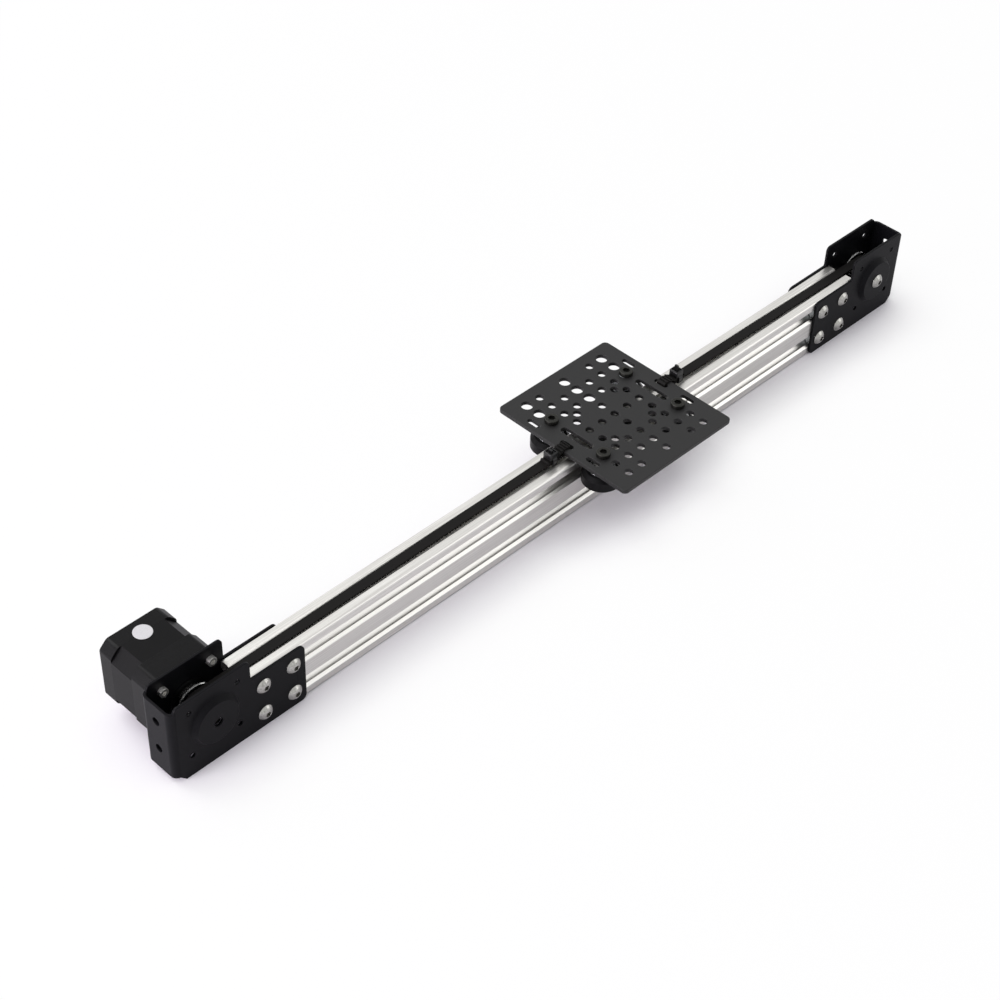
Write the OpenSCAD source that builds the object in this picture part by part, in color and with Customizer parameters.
// Belt driven linear axis.
// A V-slot rail carries a drilled plate on four V wheels. A toothed belt runs in the top slot,
// round a pulley in the folded bracket at each end, and back through the middle of the rail.
// X runs along the rail from the motor end to the idler end, Y points to the motor's side, Z is up.
// The origin is half way along the rail, on its centre plane, level with its underside.

/* [Rail] */
// Length of the rail
rail_length = 500; // [400:10:1000]
// Side of one of the rail's two square cells
rail_cell = 20; // [20:0.5:24]
// Radius of the rail's outer edges
rail_edge_r = 1.5; // [0.5:0.1:1.8]
// Width of a slot at the rail's surface, between the tops of its 45 degree flanks
slot_mouth = 9.16; // [8.6:0.02:9.8]
// Width of a slot at its neck
slot_neck = 6.2; // [6.1:0.05:7]
// Thickness of the lips on each side of a slot
slot_lip = 1.8; // [1.6:0.1:2.2]
// Width of a slot behind its lips
slot_cavity = 11; // [10.6:0.1:12]
// Depth of a slot
slot_depth = 6.1; // [5.5:0.1:6.8]
// Thickness of the diagonal webs
rail_web = 1.5; // [1:0.1:2]
// Bore through the middle of each cell
rail_bore = 4.2; // [3.3:0.1:5]

/* [Drive] */
// Teeth on each pulley
pulley_teeth = 30; // [25:1:34]
// Distance between belt teeth
belt_pitch = 2; // [2:0.5:2]
// Width of the belt
belt_width = 6; // [5:0.1:6]
// Distance from the rail's end to the pulley axis
axis_reach = 22; // [20:0.5:26]
// Depth of the belt's back below the rail's top
belt_sink = 0.53; // [0.4:0.01:1.5]
// Height of the belt's teeth
belt_tooth = 0.75; // [0.6:0.05:0.8]
// Diameter of the pulley flanges
flange_d = 24; // [22:0.5:27]
// Thickness of the pulley flanges
flange_t = 1; // [0.8:0.1:1.5]
// Diameter of the drive pulley's hub
hub_d = 17; // [14:0.5:18]

/* [Brackets] */
// Thickness of the folded sheet
sheet = 1.5; // [1.2:0.1:2]
// Outside radius of the two folds
fold_r = 4; // [3:0.25:5]
// Distance from the pulley axis to the bracket's outer end
bracket_end = 27.5; // [26:0.5:34]
// Height of the side plates above the pulley axis
bracket_rise = 24.5; // [22:0.5:30]
// Distance from the pulley axis to where the side plates step down to the rail's top
bracket_step = 24; // [22:0.5:30]
// Length of the side plates along the rail
bracket_grip = 38; // [36:0.5:50]
// Distance from the rail's end to the first pair of rail screws
screw_inset = 10; // [8:0.5:14]
// Distance between the two pairs of rail screws
screw_pitch = 20; // [16:0.5:26]
// Diameter of the boss round the pulley axis, at its foot
boss_d = 31; // [28:0.5:34]
// Height of the boss
boss_h = 3; // [2:0.1:4]
// Diameter of the two holes in the end plate
end_hole_d = 5; // [4:0.1:6]
// Distance between the two holes in the end plate
end_hole_pitch = 20; // [16:0.5:24]

/* [Motor] */
// Width and height of the motor
motor_w = 42.3; // [40:0.1:52]
// Length of the motor's body
motor_length = 42; // [36:0.5:60]
// Spacing of the motor's four mounting holes
motor_hole_pitch = 31; // [29:0.5:33]
// Diameter of the motor's pilot
pilot_d = 22; // [20:0.5:24]
// Height of the motor's pilot
pilot_h = 2; // [1.5:0.1:2.5]
// Diameter of the motor shaft
shaft_d = 5; // [5:0.1:6]
// Length of shaft in front of the motor's face
shaft_out = 24; // [20:0.5:24]
// Length of the motor's front cap
front_cap = 15.5; // [8:0.25:16]
// Length of the motor's rear cap
rear_cap = 9.75; // [9:0.25:11]

/* [Carriage] */
// Length of the carriage plate, along the rail
plate_length = 92; // [90:1:120]
// Width of the carriage plate, across the rail
plate_width = 100; // [92:1:140]
// Thickness of the carriage plate
plate_t = 2.5; // [2:0.1:4]
// Radius of the carriage plate's corners
plate_corner_r = 3; // [2:0.5:8]
// Distance of the carriage from the middle of the rail
carriage_x = 37; // [-150:1:150]
// Distance between the wheel axes along the rail
wheel_base = 64; // [60:1:76]
// Outside diameter of the wheels
wheel_d = 23.9; // [22:0.1:28.8]
// Width of the wheels
wheel_w = 10.23; // [9.6:0.01:11]
// Width of the flat round the wheels' rims
wheel_rim = 5.9; // [5.4:0.1:6]
// Height of the carriage plate above the rail's top
plate_gap = 2.5; // [1.5:0.5:6]
// Offset of the eccentric spacers
eccentric = 0.79; // [0.5:0.01:0.9]

/* [Fits] */
// Play of a hole round a screw or spacer
hole_play = 0.1; // [0.05:0.05:0.3]
// Play of a thread or a seat, on the radius
seat_play = 0.05; // [0.02:0.01:0.1]
// Gap between pieces that pass each other
running_gap = 0.3; // [0.2:0.05:0.5]
// Gap between the wheels and the rail's flanks, across the rail
wheel_gap = 0.1; // [0.05:0.05:0.3]

/* [Hidden] */
$fn = 48;
eps = 0.01;

// Colours
black = [0.13, 0.13, 0.14];
dark = [0.2, 0.2, 0.21];
silver = [0.78, 0.78, 0.76];
steel = [0.62, 0.62, 0.64];
copper = [0.72, 0.4, 0.22];

// Rail
rail_h = 2 * rail_cell;
cell_half = rail_cell / 2;
web_shift = rail_web * sqrt(2) / 2;
slot_floor = 2 * (cell_half - slot_depth - web_shift);
slot_side = cell_half - slot_cavity / 2 - web_shift;
upper_z = rail_h - cell_half;
lower_z = cell_half;

// Belt and pulleys. The pitch line lies a little outside the pulley's land.
pitch_r = pulley_teeth * belt_pitch / (2 * PI);
pitch_depth = 0.254;
belt_back = 0.376;
land_r = pitch_r - pitch_depth;
belt_inner_r = land_r + hole_play;
belt_outer_r = pitch_r + belt_back;
back_t = pitch_depth + belt_back;
channel_w = belt_width + 1;
pulley_half = channel_w / 2 + flange_t;
axis_x = rail_length / 2 + axis_reach;
axis_z = rail_h - belt_sink - belt_outer_r;
belt_top_z = axis_z + belt_outer_r;

// Brackets, measured from the pulley axis
inner_y = rail_cell / 2;
outer_y = inner_y + sheet;
rail_top_w = rail_h - axis_z;
side_corner_r = 3;
foot_corner_r = 3.5;
foot_chamfer = 4;
end_low = foot_chamfer - axis_z;
end_high = bracket_rise - side_corner_r;
grip_end = axis_reach + bracket_grip;
boss_lean = 2.3;
boss_hole_d = 5.5;
// The pilot centres the motor, so its screws have coarse holes
motor_hole_d = 3.6;
face_hole_d = 3.2;

// Screws: [thread, head diameter, head height, socket across flats]
m5_button = [5, 9.5, 2.75, 3];
m5_low = [5, 8.4, 2.7, 4];
m3_cap = [3, 5.5, 2.5, 2.5];
rail_screw_l = 6;
mount_screw_l = 6;
t_nut_l = 10;
m5_nut_af = 8;
m5_nut_h = 5;
idler_nut_h = 4;

// Motor, measured from its front face
motor_corner = 5;
stack_corner = 7.5;
cap_wall = 2;
motor_bearing = [5, 16, 5];
rotor_d = 22;
air_gap = 0.3;
pole_count = 8;
pole_w = 4.6;
pole_shoe = 1.6;
slot_outer_r = 18;
coil_w = 9;
coil_gap = 0.2;
coil_r = rotor_d / 2 + air_gap + pole_shoe + coil_gap;
stack_l = motor_length - front_cap - rear_cap;
shaft_bore = shaft_d + 2 * seat_play;
rotor_l = stack_l - 2;
mount_thread = 4.5;
label_d = 10.6;
label_inset = 9.4;
label_t = 0.1;
socket_size = [16, 6, 5.7];
socket_inset = 4;

// Wheel stack, from the plate down: spacer, shim, bearing, shim, bearing, nut
bearing = [5, 16, 5];
shim_t = 1;
shim_d = 10;
bearing_gap = 0.2;
web_h = 1;
wheel_z = upper_z;
wheel_face = wheel_w / 2;
stack_half = shim_t / 2 + bearing[2];
flank_h = (wheel_w - wheel_rim) / 2;
wheel_r = wheel_d / 2 - wheel_gap;
wheel_bite = (slot_mouth - wheel_rim) / 2;
wheel_y = rail_cell / 2 + wheel_d / 2 - wheel_bite;
plate_z = rail_h + plate_gap;
plate_top = plate_z + plate_t;
spacer_h = plate_z - wheel_z - stack_half - shim_t;
collar_left = 0.5;
bolt_l = plate_top - wheel_z + stack_half + m5_nut_h - collar_left;
spacer_d = 10;
eccentric_neck = 7.1;

// Drilling of the carriage plate
grid_x = 64 / 6;
grid_y = 10;
big_hole = 7.2;
small_hole = 5.1;
// Rows of holes from back to front: [row, columns of big holes, columns of small holes]
plate_rows = [
    [4, [-3, 0, 3], [-2, 2]],
    [3, [-3, 0, 3], [-2, -1, 1, 2]],
    [2, [0], [-2, -1, 1, 2]],
    [1, [], [-2, 0, 2]],
    [0, [], [-2, -1, 0, 1, 2]],
    [-1, [], [-2, 0, 2]],
    [-2, [], [-2, -1, 0, 1, 2]],
    [-3, [], [-3, -2, -1, 0, 1, 2, 3]],
    [-4, [], [-3, -2, 0, 2, 3]]
];
skew_hole = [1.5 * grid_x, 1.5 * grid_y];
long_slot = [5, 24];
tie_slot = [3.5, 9.5];
tie_slot_inset = 5.5;
tie_slot_rows = [26, 0, -20.3];

// Belt ends, looped round the bar between the plate's edge and its middle tie slot
bar_w = tie_slot_inset - tie_slot[0] / 2;
loop_play = 0.1;
tail_l = 13;
join_l = 5;
level_l = 13;
ramp_l = 15;
tie_at = 8;
tie_w = 3;
tie_t = 1;
tie_head = [4.6, 5.4, 3.6];
tie_stub = [1.2, 2.6, 3];

// ---------- helpers ----------

// Turns a shape drawn in X and Y, and extruded along Z, so that it stands across the rail
module along_x() {
    rotate([90, 0, 90]) children();
}

// Local +Z points to the front, -Y
module toward_front() {
    rotate([90, 0, 0]) children();
}

// Local +Z points to the back, +Y, and local +Y points down
module toward_back() {
    rotate([-90, 0, 0]) children();
}

// Puts the pulley axis of one end at the origin with +X towards the rail: end is -1 or 1
module at_end(end) {
    translate([end * axis_x, 0, axis_z])
        mirror([end > 0 ? 1 : 0, 0, 0])
            children();
}

// The four corners of a square pattern
module four_corners(pitch) {
    for (x = [-1, 1], y = [-1, 1])
        translate([x * pitch / 2, y * pitch / 2, 0])
            children();
}

// Rectangle from low to high with radii for its corners, counted from the lower left one
module rounded_rect(low, high, radii) {
    corners = [low, [high[0], low[1]], high, [low[0], high[1]]];
    inward = [[1, 1], [-1, 1], [-1, -1], [1, -1]];
    difference() {
        translate(low) square(high - low);
        for (i = [0:3])
            if (radii[i] > 0)
                translate(corners[i])
                    scale([inward[i][0], inward[i][1]])
                        corner_cut(radii[i]);
    }
}

// What rounding takes off a corner at the origin
module corner_cut(r) {
    difference() {
        translate([-eps, -eps]) square(r + eps);
        translate([r, r]) circle(r);
    }
}

// Slot with round ends, its length along Y
module stadium(size) {
    square([size[0], size[1] - size[0]], center = true);
    for (end = [-1, 1])
        translate([0, end * (size[1] - size[0]) / 2])
            circle(d = size[0]);
}

// Square with its corners cut at 45 degrees
module clipped_square(w, clip) {
    h = w / 2;
    c = h - clip;
    polygon([[c, -h], [h, -c], [h, c], [c, h], [-c, h], [-h, c], [-h, -c], [-c, -h]]);
}

// Direction from one point of a path to the next
function heading(path, i) = (path[i + 1] - path[i]) / norm(path[i + 1] - path[i]);

// Point i of a path moved sideways by an offset, mitred where the path bends
function side_point(path, i, offset) =
    let (
        last = len(path) - 1,
        before = heading(path, max(i - 1, 0)),
        after = heading(path, min(i, last - 1)),
        middle = (before + after) / norm(before + after)
    )
    path[i] + offset / (middle * before) * [-middle[1], middle[0]];

// Band of one thickness along a path
module band(path, t) {
    last = len(path) - 1;
    polygon([
        for (i = [0:last]) side_point(path, i, t / 2),
        for (i = [last:-1:0]) side_point(path, i, -t / 2)
    ]);
}

// Hexagon across flats
module hexagon(af) {
    circle(d = af / cos(30), $fn = 6);
}

// Ring with a bore
module ring(d, bore, h) {
    linear_extrude(h)
        difference() {
            circle(d = d);
            circle(d = bore);
        }
}

// Button head screw: its head stands on Z = 0 and its shank runs down
module button_screw(kind, length) {
    head_r = kind[1] / 2;
    rim_h = 0.3;
    dome = kind[2] - rim_h;
    dome_r = (head_r * head_r + dome * dome) / (2 * dome);
    difference() {
        union() {
            intersection() {
                cylinder(r = head_r, h = kind[2]);
                translate([0, 0, kind[2] - dome_r]) sphere(dome_r);
            }
            translate([0, 0, -length]) cylinder(d = kind[0], h = length + eps);
        }
        socket_cut(kind);
    }
}

// Cap head screw, set out in the same way
module cap_screw(kind, length) {
    difference() {
        union() {
            cylinder(d = kind[1], h = kind[2]);
            translate([0, 0, -length]) cylinder(d = kind[0], h = length + eps);
        }
        socket_cut(kind);
    }
}

// Hexagon socket in a screw's head
module socket_cut(kind) {
    depth = 0.6 * kind[2];
    translate([0, 0, kind[2] - depth])
        linear_extrude(depth + eps) hexagon(kind[3]);
}

// Lock nut: its seat is on Z = 0 and its collar points up
module lock_nut(h) {
    hex_h = 0.7 * h;
    bore = 5 + 2 * seat_play;
    difference() {
        union() {
            linear_extrude(hex_h) hexagon(m5_nut_af);
            cylinder(d = m5_nut_af - 0.6, h = h);
        }
        translate([0, 0, -eps]) cylinder(d = bore, h = h + 2 * eps);
    }
}

// Outer ring of a ball bearing with its two shields, centred on Z = 0
module bearing_outer(size) {
    inner_ring_d = inner_ring(size);
    shield_in = 0.3;
    rim = 1.2;
    translate([0, 0, -size[2] / 2])
        difference() {
            ring(size[1], inner_ring_d + 2 * bearing_gap, size[2]);
            for (z = [-eps, size[2] - shield_in])
                translate([0, 0, z])
                    cylinder(d = size[1] - 2 * rim, h = shield_in + eps);
        }
}

// Inner ring of a ball bearing, centred on Z = 0
module bearing_inner(size, bore) {
    translate([0, 0, -size[2] / 2])
        ring(inner_ring(size), bore, size[2]);
}

// Outside diameter of a bearing's inner ring
function inner_ring(size) = size[0] + 0.28 * (size[1] - size[0]);

// ---------- rail ----------

// One T-slot, open upward at Y = 0
module t_slot() {
    flank = (slot_mouth - slot_neck) / 2;
    for (side = [0, 1])
        mirror([side, 0])
            polygon([
                [0, 1], [slot_mouth / 2 + 1, 1], [slot_mouth / 2, 0],
                [slot_neck / 2, -flank], [slot_neck / 2, -slot_lip],
                [slot_cavity / 2, -slot_lip], [slot_cavity / 2, -slot_side],
                [slot_floor / 2, -slot_depth], [0, -slot_depth]
            ]);
}

// The rail's section, with its underside on Y = 0
module rail_section() {
    wide = cell_half - slot_lip;
    shoulder = cell_half - web_shift - wide;
    difference() {
        rounded_rect([-cell_half, 0], [cell_half, rail_h], rail_edge_r * [1, 1, 1, 1]);
        translate([0, rail_h]) t_slot();
        rotate(180) t_slot();
        for (z = [lower_z, upper_z], side = [-1, 1])
            translate([side * cell_half, z])
                rotate(-90 * side)
                    t_slot();
        for (z = [lower_z, upper_z])
            translate([0, z]) circle(d = rail_bore);
        translate([0, rail_cell])
            polygon([
                [slot_floor / 2, slot_depth], [wide, shoulder], [wide, -shoulder],
                [slot_floor / 2, -slot_depth], [-slot_floor / 2, -slot_depth],
                [-wide, -shoulder], [-wide, shoulder], [-slot_floor / 2, slot_depth]
            ]);
    }
}

module rail() {
    color(silver)
        translate([-rail_length / 2, 0, 0])
            along_x()
                linear_extrude(rail_length) rail_section();
}

// ---------- brackets ----------

// The bracket seen from above: a sheet folded into a U
module bracket_plan() {
    far = grip_end + 1;
    difference() {
        rounded_rect([-bracket_end, -outer_y], [far, outer_y], [fold_r, 0, 0, fold_r]);
        rounded_rect(
            [sheet - bracket_end, -inner_y], [far + 1, inner_y],
            [fold_r - sheet, 0, 0, fold_r - sheet]
        );
    }
}

// The bracket seen from the front, with the pulley axis at the origin
module bracket_side() {
    side_end = 1 - bracket_end + 2;
    step_fillet = 1;
    difference() {
        union() {
            rounded_rect(
                [side_end, -axis_z], [bracket_step, bracket_rise],
                side_corner_r * [0, 0, 1, 1]
            );
            rounded_rect([0, -axis_z], [grip_end, rail_top_w], foot_corner_r * [0, 1, 1, 0]);
            translate([-bracket_end, end_low])
                square([bracket_end, end_high - end_low]);
            translate([bracket_step - eps, rail_top_w - eps])
                corner_cut(step_fillet);
        }
        translate([side_end, -axis_z])
            polygon([[-eps, -eps], [foot_chamfer, -eps], [-eps, foot_chamfer]]);
    }
}

// Boss pressed out of the front plate, dished on its inner side
module boss_skin() {
    foot = boss_d / 2;
    difference() {
        cylinder(r1 = foot, r2 = foot - boss_lean, h = boss_h);
        translate([0, 0, -sheet])
            cylinder(r1 = foot - sheet, r2 = foot - sheet - boss_lean, h = boss_h);
    }
}

// A bracket with its pulley axis at the origin; axle_hole is the bore in its back plate
module bracket(axle_hole) {
    dish = boss_d / 2 - sheet;
    difference() {
        union() {
            intersection() {
                translate([0, 0, -axis_z - 1])
                    linear_extrude(axis_z + bracket_rise + 2) bracket_plan();
                toward_front()
                    linear_extrude(2 * outer_y + 2, center = true) bracket_side();
            }
            translate([0, -outer_y, 0]) toward_front() boss_skin();
        }
        translate([0, -inner_y, 0])
            toward_front()
                translate([0, 0, -eps])
                    cylinder(r1 = dish, r2 = dish - boss_lean, h = boss_h);
        toward_front() cylinder(d = boss_hole_d, h = outer_y + boss_h + 1);
        toward_back() cylinder(d = axle_hole, h = outer_y + 1);
        toward_front()
            four_corners(motor_hole_pitch)
                cylinder(d = face_hole_d, h = outer_y + 1);
        toward_back()
            four_corners(motor_hole_pitch)
                cylinder(d = motor_hole_d, h = outer_y + 1);
        bracket_screw_places()
            cylinder(d = m5_button[0] + 3 * hole_play, h = 2 * outer_y + 2, center = true);
        for (z = [-1, 1])
            translate([-bracket_end - 1, 0, z * end_hole_pitch / 2])
                rotate([0, 90, 0])
                    cylinder(d = end_hole_d, h = sheet + 2);
    }
}

// The four places where one side plate is screwed to the rail's slots
module bracket_screw_places() {
    for (x = [0, 1], z = [lower_z, upper_z])
        translate([axis_reach + screw_inset + x * screw_pitch, 0, z - axis_z])
            toward_front()
                children();
}

module motor_bracket() {
    color(black) at_end(-1) bracket(pilot_d + 3 * hole_play);
}

module idler_bracket() {
    color(black) at_end(1) bracket(m5_button[0] + 3 * hole_play);
}

// Rail screws of one end, in both side plates
module end_screws(end) {
    color(silver)
        at_end(end)
            for (side = [0, 1])
                mirror([0, side, 0])
                    bracket_screw_places()
                        translate([0, 0, outer_y])
                            button_screw(m5_button, rail_screw_l);
}

// A nut that drops into a T-slot: mouth up, length along X, with the rail's surface at Z = 0
module t_nut() {
    neck = slot_neck / 2 - 2 * hole_play;
    body = slot_cavity / 2 - running_gap;
    deep = slot_depth - 1;
    difference() {
        translate([-t_nut_l / 2, 0, 0])
            along_x()
                linear_extrude(t_nut_l)
                    polygon([
                        [-neck, -slot_lip + 0.8], [neck, -slot_lip + 0.8], [neck, -slot_lip],
                        [body, -slot_lip], [body, -slot_side], [neck, -deep],
                        [-neck, -deep], [-body, -slot_side], [-body, -slot_lip],
                        [-neck, -slot_lip]
                    ]);
        translate([0, 0, -slot_depth])
            cylinder(d = m5_button[0] + 2 * seat_play, h = slot_depth + 1);
    }
}

module end_t_nuts(end) {
    color(steel)
        at_end(end)
            for (side = [0, 1])
                mirror([0, side, 0])
                    bracket_screw_places()
                        translate([0, 0, inner_y])
                            t_nut();
}

module motor_end_screws() {
    end_screws(-1);
}

module idler_end_screws() {
    end_screws(1);
}

module motor_end_t_nuts() {
    end_t_nuts(-1);
}

module idler_end_t_nuts() {
    end_t_nuts(1);
}

// ---------- motor ----------

// Puts the motor's front face on Z = 0 with its body along +Z
module at_motor() {
    at_end(-1)
        translate([0, outer_y, 0])
            toward_back()
                children();
}

// Seat of a motor bearing, opening along +Z from Z = 0
module bearing_seat(play) {
    translate([0, 0, -eps])
        cylinder(d = motor_bearing[1] + 2 * play, h = motor_bearing[2] + eps);
}

module motor_front_cap() {
    front_wall = 3;
    seat_z = front_wall - pilot_h;
    hollow_z = seat_z + motor_bearing[2];
    color(black)
        at_motor()
            difference() {
                union() {
                    linear_extrude(front_cap) clipped_square(motor_w, motor_corner);
                    translate([0, 0, -pilot_h]) cylinder(d = pilot_d, h = pilot_h + eps);
                }
                translate([0, 0, -pilot_h - 1])
                    cylinder(d = shaft_d + 1, h = front_cap + pilot_h + 2);
                translate([0, 0, seat_z])
                    cylinder(d = motor_bearing[1], h = front_cap);
                translate([0, 0, hollow_z])
                    cylinder(r = slot_outer_r, h = front_cap);
                translate([0, 0, -1])
                    four_corners(motor_hole_pitch)
                        cylinder(d = m3_cap[0], h = mount_thread + 1);
                four_corners(motor_hole_pitch)
                    translate([0, 0, mount_thread + 1])
                        cylinder(d = m3_cap[0] + 2 * seat_play, h = front_cap);
            }
}

// One lamination: a clipped square with eight poles round the rotor
module lamination() {
    bore_r = rotor_d / 2 + air_gap;
    half_angle = 16;
    difference() {
        union() {
            difference() {
                clipped_square(motor_w, stack_corner);
                circle(slot_outer_r);
            }
            for (i = [0:pole_count - 1])
                rotate((i + 0.5) * 360 / pole_count) {
                    translate([bore_r, -pole_w / 2])
                        square([slot_outer_r - bore_r + 0.5, pole_w]);
                    intersection() {
                        circle(bore_r + pole_shoe);
                        polygon([[0, 0], 20 * [cos(half_angle), -sin(half_angle)],
                                 20 * [cos(half_angle), sin(half_angle)]]);
                    }
                }
        }
        circle(bore_r);
        four_corners(motor_hole_pitch) circle(d = m3_cap[0] + 2 * hole_play);
    }
}

module motor_stator() {
    color(steel)
        at_motor()
            translate([0, 0, front_cap])
                linear_extrude(stack_l) lamination();
}

// A coil round each pole, standing out of both ends of the stack
module motor_windings() {
    overhang = 1.5;
    coil_deep = slot_outer_r - coil_gap - coil_r - 0.6;
    color(copper)
        at_motor()
            for (i = [0:pole_count - 1])
                rotate((i + 0.5) * 360 / pole_count)
                    translate([coil_r, 0, front_cap - overhang])
                        difference() {
                            translate([0, -coil_w / 2, 0])
                                cube([coil_deep, coil_w, stack_l + 2 * overhang]);
                            translate([-1, -pole_w / 2 - coil_gap, overhang - coil_gap])
                                cube([coil_deep + 2, pole_w + 2 * coil_gap, stack_l + 2 * coil_gap]);
                        }
}

module motor_rear_cap() {
    seat_z = motor_length - cap_wall - motor_bearing[2];
    screw_seat = 2.5;
    color(black)
        at_motor()
            difference() {
                translate([0, 0, motor_length - rear_cap])
                    linear_extrude(rear_cap) clipped_square(motor_w, motor_corner);
                translate([0, 0, motor_length - rear_cap - 1])
                    cylinder(r = slot_outer_r, h = 1 + seat_z - (motor_length - rear_cap));
                translate([0, 0, seat_z])
                    bearing_seat(0);
                translate([0, 0, motor_length - rear_cap - 1])
                    four_corners(motor_hole_pitch)
                        cylinder(d = m3_cap[0] + 2 * hole_play, h = rear_cap + 2);
                translate([0, 0, motor_length - screw_seat])
                    four_corners(motor_hole_pitch)
                        cylinder(d = m3_cap[1] + 4 * hole_play, h = screw_seat + 1);
                socket_place()
                    translate([0, 0, -socket_size[2] / 2])
                        cube(socket_size + [0, 0, eps], center = true);
            }
}

// Long screws that hold the motor's caps together, set into its rear face
module motor_case_screws() {
    screw_seat = 2.5;
    reach = motor_length - screw_seat - mount_thread - 1.5;
    color(steel)
        at_motor()
            translate([0, 0, motor_length - screw_seat])
                four_corners(motor_hole_pitch)
                    cap_screw(m3_cap, reach);
}

// Short screws that hold the motor to its bracket, with their heads inside the bracket
module motor_mount_screws() {
    color(silver)
        at_end(-1)
            translate([0, inner_y, 0])
                toward_front()
                    four_corners(motor_hole_pitch)
                        cap_screw(m3_cap, mount_screw_l - seat_play);
}

// Blank round sticker on top of the motor
module motor_label() {
    color("white")
        at_motor()
            translate([0, -motor_w / 2, motor_length - label_inset])
                rotate([90, 0, 0])
                    cylinder(d = label_d, h = label_t);
}

// Stands on the underside of the rear cap, with +Z pointing down and +Y to the rear
module socket_place() {
    translate([0, motor_w / 2, motor_length - socket_inset])
        rotate([-90, 0, 0])
            mirror([0, 1, 0])
                children();
}

// Connector socket, let into the underside of the rear cap
module motor_socket() {
    wall = 0.8;
    color("white")
        at_motor()
            socket_place()
                translate([0, 0, -socket_size[2] / 2])
                    difference() {
                        cube(socket_size, center = true);
                        translate([0, 0, wall])
                            cube(socket_size - 2 * wall * [1, 1, 0], center = true);
                    }
}

// Places of the two motor bearings
module motor_bearing_places() {
    front_z = 1 + motor_bearing[2] / 2;
    rear_z = motor_length - cap_wall - motor_bearing[2] / 2;
    at_motor()
        for (z = [front_z, rear_z])
            translate([0, 0, z])
                children();
}

module motor_bearings() {
    color(steel) motor_bearing_places() bearing_outer(motor_bearing);
}

module motor_bearing_rings() {
    color(steel) motor_bearing_places() bearing_inner(motor_bearing, shaft_bore);
}

// The shaft, with a flat for the set screw
module motor_shaft() {
    flat_l = 15;
    flat_depth = 0.5;
    rear_end = motor_length - cap_wall - 0.5;
    color(steel)
        at_motor()
            difference() {
                translate([0, 0, -shaft_out]) cylinder(d = shaft_d, h = shaft_out + rear_end);
                translate([shaft_d / 2 - flat_depth, -shaft_d, -shaft_out - eps])
                    cube([shaft_d, 2 * shaft_d, flat_l]);
            }
}

// Two toothed cups with the magnet between them
module motor_rotor() {
    magnet_t = 3;
    magnet_d = rotor_d - 4;
    color(steel)
        at_motor()
            translate([0, 0, front_cap + 1])
                difference() {
                    union() {
                        cylinder(d = magnet_d, h = rotor_l);
                        for (z = [0, (rotor_l + magnet_t) / 2])
                            translate([0, 0, z])
                                cylinder(d = rotor_d, h = (rotor_l - magnet_t) / 2);
                    }
                    translate([0, 0, -1]) cylinder(d = shaft_bore, h = rotor_l + 2);
                }
}

// ---------- pulleys and belt ----------

// Toothed rim with a groove for each belt tooth, centred on Z = 0
module toothed_rim() {
    groove_r = 0.65;
    groove_in = belt_tooth - groove_r;
    linear_extrude(channel_w + 2 * eps, center = true)
        difference() {
            circle(land_r);
            for (i = [0:pulley_teeth - 1])
                rotate(i * 360 / pulley_teeth)
                    translate([land_r - groove_in, 0])
                        circle(groove_r, $fn = 16);
        }
}

// Rim between its two flanges
module pulley_body() {
    bevel = 0.4;
    toothed_rim();
    for (side = [0, 1])
        mirror([0, 0, side])
            translate([0, 0, channel_w / 2])
                cylinder(r1 = flange_d / 2 - bevel, r2 = flange_d / 2, h = bevel);
    for (side = [0, 1])
        mirror([0, 0, side])
            translate([0, 0, channel_w / 2 + bevel])
                cylinder(d = flange_d, h = flange_t - bevel);
}

// Length of the drive pulley's hub, up to the motor's pilot
hub_l = inner_y - (pilot_h - sheet) - 0.5 - pulley_half;

module drive_pulley() {
    set_z = pulley_half + hub_l / 2;
    color(silver)
        at_end(-1)
            toward_back()
                difference() {
                    union() {
                        pulley_body();
                        translate([0, 0, pulley_half - eps]) cylinder(d = hub_d, h = hub_l);
                    }
                    cylinder(d = shaft_bore, h = 4 * outer_y, center = true);
                    set_screw_places(set_z)
                        cylinder(d = m3_cap[0], h = hub_d);
                }
}

// Two set screws at right angles in the hub
module set_screw_places(z) {
    for (turn = [0, 90])
        translate([0, 0, z])
            rotate([0, 90, turn])
                children();
}

module pulley_set_screws() {
    set_z = pulley_half + hub_l / 2;
    flat_r = shaft_d / 2;
    set_l = 4;
    color(dark)
        at_end(-1)
            toward_back()
                set_screw_places(set_z)
                    translate([0, 0, flat_r])
                        difference() {
                            cylinder(d = m3_cap[0], h = set_l);
                            translate([0, 0, set_l - 1.2])
                                linear_extrude(2) hexagon(1.5);
                        }
}

// Closed band round both pulleys: r is its radius at the pulleys
module belt_loop(r) {
    square([2 * axis_x, 2 * r], center = true);
    for (end = [-1, 1])
        translate([end * axis_x, 0]) circle(r, $fn = 96);
}

// Row of belt teeth centred on X = 0, their roots on Y = 0 and their tips up
module tooth_row(count) {
    root = 0.65;
    tip = 0.4;
    tooth = [[-root, -eps], [-tip, belt_tooth], [tip, belt_tooth], [root, -eps]];
    end = count * belt_pitch / 2;
    polygon([
        [-end, -pitch_depth], [-end, -eps],
        for (i = [0.5:count], corner = tooth) corner + [i * belt_pitch - end, 0],
        [end, -eps], [end, -pitch_depth]
    ]);
}

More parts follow.
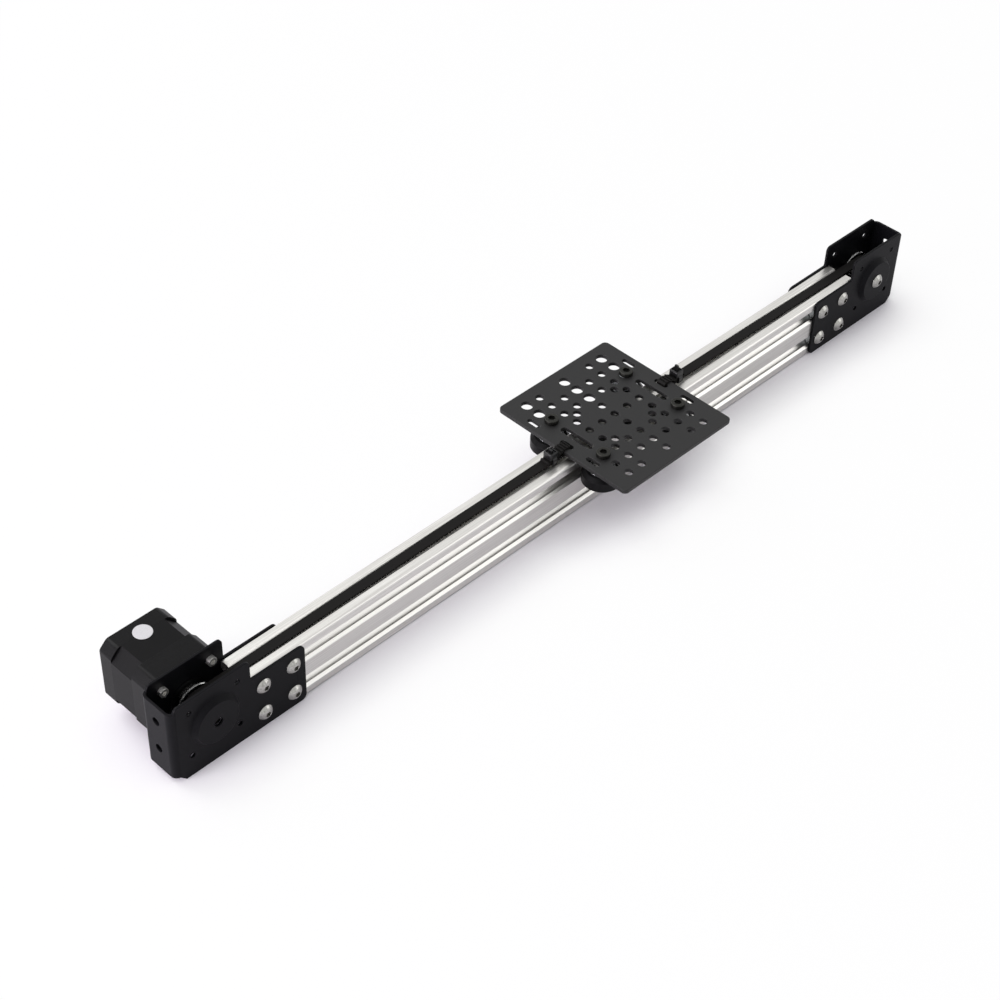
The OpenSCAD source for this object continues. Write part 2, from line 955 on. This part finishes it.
// The upper run shows, so it has its teeth. They stop short of the pulleys, which turn in a smooth
// loop, and the run back inside the rail is plain.
module drive_belt() {
    tip_r = belt_inner_r - belt_tooth;
    toothless = sqrt(pow(land_r + running_gap, 2) - pow(tip_r, 2));
    run_teeth = floor(2 * (axis_x - toothless) / belt_pitch);
    color(black)
        translate([0, 0, axis_z])
            toward_front()
                linear_extrude(belt_width, center = true)
                    difference() {
                        belt_loop(belt_outer_r);
                        difference() {
                            belt_loop(belt_inner_r);
                            translate([0, belt_inner_r])
                                rotate(180)
                                    tooth_row(run_teeth);
                        }
                    }
}

// ---------- idler ----------

idler_bearing = [5, 10, 4];
idler_boss_y = inner_y + boss_h;

module idler_axle() {
    color(silver)
        at_end(1)
            translate([0, -outer_y - boss_h, 0])
                toward_front()
                    button_screw(m5_button, outer_y + boss_h + outer_y + idler_nut_h);
}

module idler_nut() {
    color(steel)
        at_end(1)
            translate([0, outer_y, 0])
                toward_back()
                    lock_nut(idler_nut_h);
}

// Tubes that hold the idler's bearings in the middle
module idler_spacers() {
    tube_d = 8;
    color(steel)
        at_end(1) {
            translate([0, -pulley_half, 0])
                toward_front()
                    ring(tube_d, m5_button[0] + 2 * seat_play, idler_boss_y - pulley_half);
            translate([0, pulley_half, 0])
                toward_back()
                    ring(tube_d, m5_button[0] + 2 * seat_play, inner_y - pulley_half);
        }
}

// Places of the idler's two bearings, flush with its flanges
module idler_bearing_places() {
    at_end(1)
        for (side = [-1, 1])
            translate([0, side * (pulley_half - idler_bearing[2] / 2), 0])
                toward_back()
                    children();
}

module idler_bearing_rings() {
    color(steel)
        idler_bearing_places()
            bearing_inner(idler_bearing, m5_button[0] + 2 * seat_play);
}

module idler_bearings() {
    color(steel) idler_bearing_places() bearing_outer(idler_bearing);
}

module idler_pulley() {
    rib_d = idler_bearing[1] - 2;
    color(silver)
        at_end(1)
            toward_back()
                difference() {
                    pulley_body();
                    cylinder(d = rib_d, h = 4 * outer_y, center = true);
                    for (side = [0, 1])
                        mirror([0, 0, side])
                            translate([0, 0, pulley_half - idler_bearing[2]])
                                cylinder(d = idler_bearing[1], h = outer_y);
                }
}

// ---------- carriage ----------

// Puts the middle of the carriage's underside at the origin
module at_carriage() {
    translate([carriage_x, 0, plate_z]) children();
}

// One wheel's place, at wheel height: x and y are -1 or 1
module at_wheel(x, y) {
    translate([carriage_x + x * wheel_base / 2, y * wheel_y, wheel_z]) children();
}

module all_wheels() {
    for (x = [-1, 1], y = [-1, 1])
        at_wheel(x, y)
            children();
}

// Every opening of the carriage plate
module plate_openings() {
    for (row = plate_rows) {
        for (column = row[1])
            translate([column * grid_x, row[0] * grid_y]) circle(d = big_hole);
        for (column = row[2])
            translate([column * grid_x, row[0] * grid_y]) circle(d = small_hole);
    }
    for (x = [-1, 1], y = [-1, 1])
        translate([x * skew_hole[0], y * skew_hole[1]]) circle(d = small_hole);
    for (x = [-1, 1]) {
        translate([x * wheel_base / 2, -wheel_y]) circle(d = small_hole);
        translate([x * (wheel_base / 2 - eccentric), wheel_y]) circle(d = big_hole);
        translate([x * wheel_base / 2, 0]) stadium(long_slot);
        for (y = tie_slot_rows)
            translate([x * (plate_length / 2 - tie_slot_inset), y]) stadium(tie_slot);
    }
}

module carriage_plate() {
    half = [plate_length / 2, plate_width / 2];
    color(dark)
        at_carriage()
            linear_extrude(plate_t)
                difference() {
                    rounded_rect(-half, half, plate_corner_r * [1, 1, 1, 1]);
                    plate_openings();
                }
}

module wheel_bolts() {
    color(black)
        all_wheels()
            translate([0, 0, plate_top - wheel_z])
                cap_screw(m5_low, bolt_l);
}

// Round spacers over the front wheels
module fixed_spacers() {
    color(silver)
        for (x = [-1, 1])
            at_wheel(x, -1)
                translate([0, 0, stack_half + shim_t])
                    ring(spacer_d, m5_button[0] + 2 * seat_play, spacer_h);
}

// Hexagon spacers over the back wheels: turning one moves its wheel towards the rail
module eccentric_spacers() {
    color(steel)
        for (x = [-1, 1])
            at_wheel(x, 1)
                translate([0, 0, stack_half + shim_t])
                    difference() {
                        translate([-x * eccentric, 0, 0]) {
                            linear_extrude(spacer_h) hexagon(spacer_d);
                            cylinder(d = eccentric_neck, h = spacer_h + plate_t - hole_play);
                        }
                        translate([0, 0, -1])
                            cylinder(d = m5_button[0] + 2 * seat_play, h = spacer_h + plate_t + 2);
                    }
}

// A shim over each wheel's bearings and one between them
module wheel_shims() {
    color(silver)
        all_wheels()
            for (z = [-shim_t / 2, stack_half])
                translate([0, 0, z])
                    ring(z > 0 ? shim_d : inner_ring(bearing), m5_button[0] + 2 * seat_play, shim_t);
}

// Middles of the two bearings in a wheel
bearing_levels = (shim_t + bearing[2]) / 2 * [-1, 1];

module wheel_bearing_rings() {
    color(steel)
        all_wheels()
            for (z = bearing_levels)
                translate([0, 0, z])
                    bearing_inner(bearing, m5_button[0] + 2 * seat_play);
}

module wheel_nuts() {
    color(steel)
        all_wheels()
            translate([0, 0, -stack_half])
                mirror([0, 0, 1])
                    lock_nut(m5_nut_h);
}

// The wheel's section, turned round its axis
module v_wheel() {
    seat_r = bearing[1] / 2;
    rib_r = seat_r - 1;
    flank_r = wheel_r - flank_h;
    rotate_extrude()
        polygon([
            [seat_r, wheel_face], [flank_r, wheel_face], [wheel_r, wheel_rim / 2],
            [wheel_r, -wheel_rim / 2], [flank_r, -wheel_face], [seat_r, -wheel_face],
            [seat_r, -web_h / 2], [rib_r, -web_h / 2], [rib_r, web_h / 2], [seat_r, web_h / 2]
        ]);
}

module wheel(x, y) {
    color(black) at_wheel(x, y) v_wheel();
}

module wheel_bearings(x, y) {
    color(steel)
        at_wheel(x, y)
            for (z = bearing_levels)
                translate([0, 0, z])
                    bearing_outer(bearing);
}

module wheel_front_left() {
    wheel(-1, -1);
}

module wheel_front_right() {
    wheel(1, -1);
}

module wheel_back_left() {
    wheel(-1, 1);
}

module wheel_back_right() {
    wheel(1, 1);
}

module bearings_front_left() {
    wheel_bearings(-1, -1);
}

module bearings_front_right() {
    wheel_bearings(1, -1);
}

module bearings_back_left() {
    wheel_bearings(-1, 1);
}

module bearings_back_right() {
    wheel_bearings(1, 1);
}

// Puts the plate's edge at the origin with +X pointing away from the carriage: end is -1 or 1
module at_plate_edge(end) {
    translate([carriage_x, 0, plate_z])
        mirror([end < 0 ? 1 : 0, 0, 0])
            translate([plate_length / 2, 0, 0])
                children();
}

// Heights of the middle of the belt's back, measured from the plate's underside
under_z = -loop_play - back_t / 2;
over_z = plate_t + loop_play + back_t / 2;
tail_z = under_z + back_t + loop_play;
slot_z = belt_top_z + running_gap + belt_tooth + back_t / 2 - plate_z;

// Belt teeth on the left of each straight part of a path
module teeth_along(path) {
    for (i = [0:len(path) - 2]) {
        way = path[i + 1] - path[i];
        translate((path[i] + path[i + 1]) / 2)
            rotate(atan2(way[1], way[0]))
                translate([0, back_t / 2])
                    tooth_row(floor(norm(way) / belt_pitch));
    }
}

// Each belt end climbs out of the slot, turns up round the bar, and lies back on itself
module belt_ends() {
    turn_r = (over_z - under_z) / 2;
    turn_at = [-bar_w, plate_t / 2];
    tooth_turn = 180 * belt_pitch / (PI * turn_r);
    climb = [[level_l + ramp_l, slot_z], [level_l, under_z], [-bar_w, under_z]];
    turn = [
        for (angle = [-105:-15:-255])
            turn_at + turn_r * [cos(angle), sin(angle)]
    ];
    tail = [[-bar_w, over_z], [0.8, over_z], [join_l, tail_z], [tail_l, tail_z]];
    color(black)
        for (end = [-1, 1])
            at_plate_edge(end)
                toward_front()
                    linear_extrude(belt_width, center = true) {
                        band(concat(climb, turn, tail), back_t);
                        teeth_along(climb);
                        teeth_along(tail);
                        for (i = [-1:1])
                            translate(turn_at)
                                rotate(90 + i * tooth_turn)
                                    translate([0, turn_r + back_t / 2])
                                        tooth_row(1);
                    }
}

// A tie round each doubled belt end, with its head on top
module cable_ties() {
    half_t = back_t / 2 + belt_tooth;
    inside = [belt_width / 2 + seat_play, tail_z + half_t + seat_play];
    low = under_z - half_t - seat_play;
    corner = 1;
    color(black)
        for (end = [-1, 1])
            at_plate_edge(end)
                translate([tie_at, 0, 0]) {
                    translate([-tie_w / 2, 0, 0])
                        along_x()
                            linear_extrude(tie_w)
                                difference() {
                                    rounded_rect(
                                        [-inside[0] - tie_t, low - tie_t],
                                        [inside[0] + tie_t, inside[1] + tie_t],
                                        corner * [1, 1, 1, 1]
                                    );
                                    translate([-inside[0], low])
                                        square([2 * inside[0], inside[1] - low]);
                                }
                    translate([-tie_head[0] / 2, -tie_head[1] / 2, inside[1]])
                        cube(tie_head);
                    translate([-tie_stub[0] / 2, -tie_stub[1] / 2, inside[1] + tie_head[2] - eps])
                        cube(tie_stub);
                }
}

rail();
motor_bracket();
idler_bracket();
motor_end_screws();
idler_end_screws();
motor_end_t_nuts();
idler_end_t_nuts();
motor_front_cap();
motor_stator();
motor_windings();
motor_rear_cap();
motor_case_screws();
motor_mount_screws();
motor_label();
motor_socket();
motor_bearings();
motor_shaft();
motor_rotor();
motor_bearing_rings();
drive_pulley();
pulley_set_screws();
drive_belt();
idler_axle();
idler_nut();
idler_spacers();
idler_bearing_rings();
idler_pulley();
idler_bearings();
carriage_plate();
wheel_bolts();
fixed_spacers();
eccentric_spacers();
wheel_shims();
wheel_bearing_rings();
wheel_nuts();
belt_ends();
cable_ties();
wheel_front_left();
wheel_front_right();
wheel_back_left();
wheel_back_right();
bearings_front_left();
bearings_front_right();
bearings_back_left();
bearings_back_right();
